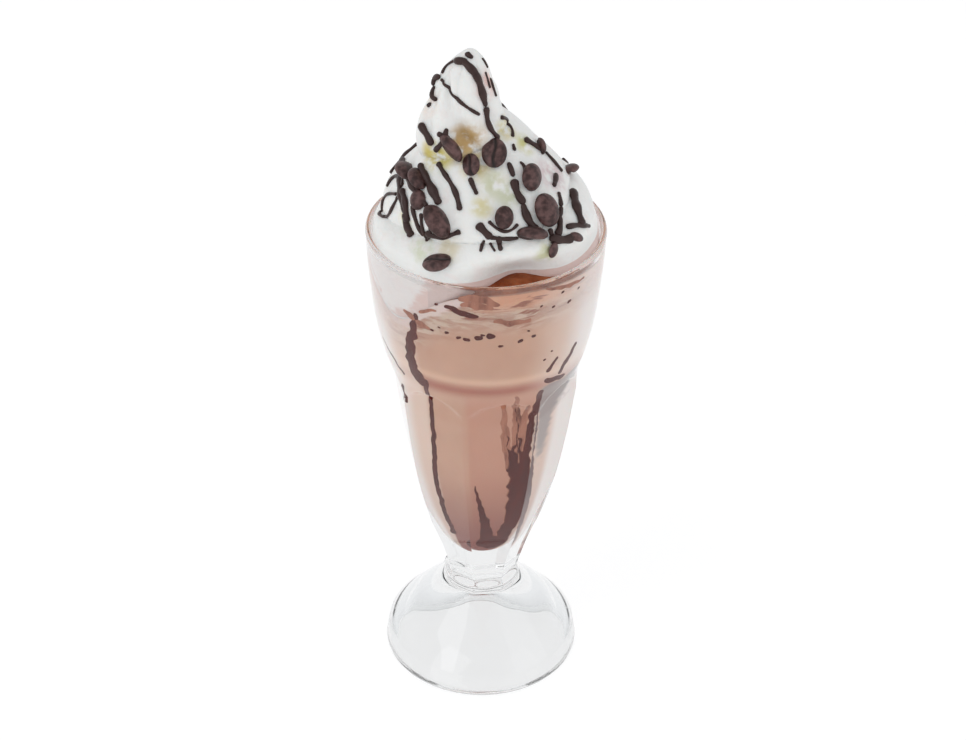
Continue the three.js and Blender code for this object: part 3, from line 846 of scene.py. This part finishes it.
def seeded_draws(state):
    """A repeatable row of numbers from 0 to 1."""
    factor, modulus = 16807, 2147483647
    while True:
        state = (state * factor) % modulus
        yield state / modulus


def back_drizzle():
    """Short strands that run downhill round the back, by the CAD's rule."""
    draws = seeded_draws(SEED)
    strands = []
    for index in range(BACK_STRANDS):
        azimuth = BACK_START + BACK_SWEEP * (index + 0.5) / BACK_STRANDS
        top = 0.25 + 0.6 * ((index * 5) % BACK_STRANDS) / BACK_STRANDS
        length = 0.08 + 0.08 * next(draws)
        slant = 20 * (next(draws) - 0.5)
        sway = 10 * (next(draws) - 0.5)
        width = 1.4 + next(draws)
        end = (azimuth + slant, top - length)
        strands.append({"start": (azimuth, top), "end": end, "sway": sway, "width": width})
    return strands


def tube(spine, outward, radius):
    """A tube with round ends along a spine, a little flatter along the outward direction."""
    sides = 14
    squash = 0.8
    along = unit(np.gradient(spine, axis=0))
    across = unit(np.cross(along, outward))
    upright = np.cross(across, along)
    angle = np.linspace(0, 2 * math.pi, sides, endpoint=False)
    section = (
        across[:, None] * np.cos(angle)[None, :, None]
        + squash * upright[:, None] * np.sin(angle)[None, :, None]
    )
    return spine[:, None] + section * radius[:, None, None]


def end_caps(distance, length, radius):
    """Radius along a strand whose ends are round."""
    from_end = np.minimum(distance, length - distance)
    share = np.clip(from_end / radius, 0, 1)
    return radius * np.sqrt(1 - (1 - share) ** 2)


def strand_shape(start, end, width, sway=0, rise=0):
    """A strand of sauce laid over the cream, thicker and thinner along its way."""
    rows = 70
    lift_share = 0.2
    share = np.linspace(0, 1, rows)
    bend = np.sin(math.pi * share)
    azimuth = start[0] + (end[0] - start[0]) * share + sway * bend
    climb = start[1] + (end[1] - start[1]) * share + rise * bend
    outward, _ = cream_frame(azimuth, climb)
    spine = cream_surface(azimuth, climb) + outward * lift_share * width
    distance = distance_along(spine)
    short_waves = 0.16 * np.sin(distance * 0.9 + start[0])
    long_waves = 0.1 * np.sin(distance * 0.37 + start[0])
    swell = 1 + short_waves + long_waves
    radius = end_caps(distance, distance[-1], width / 2) * swell
    return Shape(tube(spine, outward, radius)[:, ::-1])


# How a run of syrup wavers, by smooth noise of a pace for each millimetre and a layer of its own: the edge is
# ragged by a share of half the width, and by so many millimetres at most, and the way wanders sideways
RAGGED = {"pace": 0.4, "share": 0.4, "most": 0.9, "layer": 0}
WANDER = {"pace": 0.25, "most": 0.9, "layer": 5}

# Half of a run's least width, and how deep its back lies in the drink
LEAST_HALF_WIDTH = 0.05
SYRUP_BACK = 0.6


def wall_run(stations, thin=0.0, steps=100, sides=20):
    """A thin run of syrup against the inside of the glass, through stations of azimuth, height and width.

    Its ragged edge and its wander come from smooth noise along the run, and its back lies in the drink.
    """
    azimuth, height, width = smooth_curve(stations, steps).T
    wall = inner_radius(height)
    chart = np.stack([np.radians(azimuth) * wall, height], axis=1)
    along = unit(np.gradient(chart, axis=0))
    distance = distance_along(chart)
    first_azimuth = stations[0][0]
    ragged = noise_along(distance, RAGGED["pace"], first_azimuth, RAGGED["layer"])
    wander = noise_along(distance, WANDER["pace"], first_azimuth, WANDER["layer"])
    half = end_caps(distance, distance[-1], np.maximum(width / 2, LEAST_HALF_WIDTH))
    half = half + np.minimum(RAGGED["share"] * half, RAGGED["most"]) * ragged
    angle = np.linspace(0, 2 * math.pi, sides, endpoint=False)
    offset = half[:, None] * np.cos(angle) + WANDER["most"] * wander[:, None]
    bulge = np.sin(angle)
    into_wall = WALL_REACH * (1 + np.sqrt(np.abs(bulge)))
    into_drink = -SYRUP_BACK * np.abs(bulge)
    depth = np.where(bulge > 0, into_wall, into_drink)
    round_wall = azimuth[:, None] - np.degrees(offset * along[:, 1:] / wall[:, None])
    level = height[:, None] + offset * along[:, :1]
    rings = polar(round_wall, inner_radius(level) + depth, level)
    return Shape(rings, thinness=thin + (1 - thin) * np.abs(np.cos(angle)) ** 3)


def noise_along(distance, pace, row, layer):
    """Smooth noise from -1 to 1 along a distance in millimetres."""
    return np.array([noise.noise(Vector((way * pace, row, layer))) for way in distance])


# Runs of syrup on the wall: stations of azimuth, height and width
SYRUP_RUNS = [
    # left streak, from the shoulder to the bottom
    [(-36, 183, 1.6), (-38, 176, 3.2), (-41, 168, 4.6), (-43, 158, 4.8), (-40, 152, 6.4), (-35, 148, 3.2)],
    [(-35, 152, 2.6), (-36.5, 140, 2.0), (-37.5, 119, 2.3), (-41.5, 97, 2.6), (-41, 81, 2.8), (-39, 66, 3.4)],
    # right streak: its fingers, and the wide part that they join
    [(16, 126, 0.6), (18, 117, 2.4), (21, 106, 3.0)],
    [(21, 140, 0.6), (23, 131, 2.0), (25, 118, 4.4), (28, 104, 5.4)],
    [(36, 147, 3.0), (34, 134, 2.8), (32, 120, 4.6), (31, 106, 5.0)],
    [
        (25, 124, 4.0), (28, 112, 9.0), (31, 100, 9.6), (33, 88, 9.4),
        (35, 76, 8.6), (31, 65, 7.4), (22, 59, 5.0),
    ],
    # centre streak and the pool on the floor
    [(-7, 100, 0.4), (-5, 92, 1.6), (-1, 83, 2.8), (3, 73, 4.8), (4, 66, 7.0)],
    [(-16, 62, 6.0), (4, 63, 9.0), (24, 63, 9.0), (50, 62, 6.0)],
    # right shoulder
    [(42, 162, 1.2), (36, 156, 2.2)],
    [(56, 164, 1.6), (50, 157, 2.6), (46, 152, 2.0)],
    [(36, 152, 2.4), (44, 150, 2.8), (53, 149, 1.6)],
    # left panel and left shoulder
    [(-61, 140, 1.8), (-61, 131, 1.6)],
    [(-71, 159, 1.0), (-61, 153, 1.4), (-53, 148, 1.4)],
    # a short run under the foam
    [(-20, 190, 1.4), (-14, 189, 2.4), (-8, 187.5, 2.6), (-3, 187, 1.0)],
]

# Smears thinner than the runs, with the same stations
SMEARS = [
    [(-13, 194, 1.4), (-6, 195, 3.4), (2, 193.5, 3.0), (7, 192, 1.2)],
    [(-12, 191.5, 1.4), (-5, 192, 3.2), (4, 190.5, 1.8)],
    [(4, 185, 1.6), (12, 184, 2.6), (23, 183.5, 1.4)],
    [(-44, 182, 1.2), (-40, 181, 2.6), (-34, 179, 2.6), (-28, 178, 1.2)],
    [(13, 142, 1.4), (14, 132, 2.6), (16, 122, 3.6), (20, 108, 2.0)],
    [(19, 147, 1.2), (22, 136, 3.2), (24, 124, 4.4), (27, 110, 3.0)],
    [(29, 140, 1.4), (28, 130, 3.0), (29, 116, 3.0)],
    [(-34, 184, 1.0), (-29, 186, 1.4), (-24, 187, 0.8)],
    [(30, 196, 1.0), (42, 194, 1.8), (55, 193, 0.8)],
]

# Crumbs that stick to the wall: azimuth, height and size
CRUMBS = [
    (-27, 178, 1.2), (-23, 180, 0.9), (-19, 178, 1.4), (-13, 177, 1.6), (-9, 176.5, 2.2), (-3, 177.5, 2.6),
    (-1, 179, 1.4), (3, 178.5, 2.8), (8, 174, 1.6), (18, 175, 1.8), (25, 176, 1.5), (22, 179, 0.9),
    (28, 189, 1.0), (35, 187, 1.2), (45, 186, 1.6), (51, 190, 1.0), (40, 192, 1.2), (-24, 190, 1.2),
    (33, 163, 1.0), (37, 166, 0.8),
]


def crumb(azimuth, height, size):
    """A crumb of chocolate stuck to the wall, a little wider than high."""
    spread = math.degrees(0.6 * size / inner_radius(height))
    stations = [(azimuth - spread, height - 0.1 * size, size), (azimuth + spread, height, 0.7 * size)]
    return wall_run(stations, steps=24, sides=16)


# Camera, light and floor

def studio():
    """A soft white studio: pale floor, bright surroundings and two large lamps."""
    scene = bpy.context.scene
    scene.view_settings.view_transform = "Standard"
    world = bpy.data.worlds.new("studio")
    world.use_nodes = True
    background = world.node_tree.nodes["Background"]
    background.inputs["Color"].default_value = (0.97, 0.985, 1.0, 1)
    place = world.node_tree.nodes.new("ShaderNodeTexCoord")
    parts = world.node_tree.nodes.new("ShaderNodeSeparateXYZ")
    strength = world.node_tree.nodes.new("ShaderNodeMapRange")
    for socket, value in {"From Min": 0.1, "From Max": 0.7, "To Min": 0.98, "To Max": 0.72}.items():
        strength.inputs[socket].default_value = value
    world.node_tree.links.new(place.outputs["Generated"], parts.inputs[0])
    world.node_tree.links.new(parts.outputs["Z"], strength.inputs["Value"])
    world.node_tree.links.new(strength.outputs[0], background.inputs["Strength"])
    scene.world = world
    lamp("key_lamp", (-0.7, -0.5, 1.1), 0.8, 2.2)
    lamp("fill_lamp", (0.9, -0.4, 0.8), 0.8, 0.8)
    pale_floor()


def pale_floor():
    """White paper under the glass, which glows a little so that it blends into the surroundings."""
    mesh = bpy.data.meshes.new("floor")
    reach = 4.0
    corners = [(-reach, -reach, 0), (reach, -reach, 0), (reach, reach, 0), (-reach, reach, 0)]
    mesh.from_pydata(corners, [], [(0, 1, 2, 3)])
    paint = Paint(
        "floor_paper",
        base_color=(0.6, 0.6, 0.6, 1),
        roughness=0.9,
        emission_color=(1, 1, 1, 1),
        emission_strength=0.52,
    )
    mesh.materials.append(paint.material)
    floor = bpy.data.objects.new("floor", mesh)
    bpy.context.scene.collection.objects.link(floor)


def lamp(name, place, size, power):
    """A square lamp of a size in metres and a power in watts, aimed at the glass's middle."""
    light = bpy.data.lights.new(name, "AREA")
    light.size = size
    light.energy = power
    lamp_object = bpy.data.objects.new(name, light)
    lamp_object.location = place
    aim = Vector((0, 0, 0.15)) - Vector(place)
    lamp_object.rotation_euler = aim.to_track_quat("-Z", "Y").to_euler()
    bpy.context.scene.collection.objects.link(lamp_object)


def camera():
    """The camera stands in front, looks down on the glass and is rolled a little."""
    elevation = math.radians(34.25)
    distance = 0.8827
    target = Vector((0, 0, 0.13467))
    roll = math.radians(0.746)
    image_width = 966
    focal_pixels = 2276
    centre_offset = 1.33
    data = bpy.data.cameras.new("camera")
    data.sensor_width = 36
    data.lens = focal_pixels / image_width * data.sensor_width
    data.shift_x = -centre_offset / image_width
    data.clip_start = 0.01
    view = bpy.data.objects.new("camera", data)
    back = Vector((0, -math.cos(elevation), math.sin(elevation)))
    view.location = target + back * distance
    aim = (-back).to_track_quat("-Z", "Y") @ Quaternion((0, 0, 1), roll)
    view.rotation_euler = aim.to_euler()
    bpy.context.scene.collection.objects.link(view)
    bpy.context.scene.camera = view


camera()
studio()
make_piece("pressed_glass", [glass_shape()], clear_glass(), "clear_glass", "glass", crease=40)
make_piece("shake", [drink_shape()], shake(), "milkshake", "milkshake")
make_piece("cream", [cream_shape()], whipped_cream(), "whipped_cream", "whipped_cream")
strands = [strand_shape(**strand) for strand in STRANDS + THIN_STRANDS + back_drizzle()]
make_piece("sauce_drizzle", strands, sauce(), "dark_chocolate", "whipped_cream")
on_wall = [wall_run(run) for run in SYRUP_RUNS] + [wall_run(run, thin=0.95) for run in SMEARS]
on_wall += [crumb(*place) for place in CRUMBS]
make_piece("syrup_runs", on_wall, syrup(), "dark_chocolate", "milkshake")
bean_material = bean_chocolate()
for index, bean in enumerate(BEANS, start=1):
    node = f"bean_{index:02d}"
    make_piece(f"coffee_{node}", [bean_shape(**bean)], bean_material, "dark_chocolate", node)
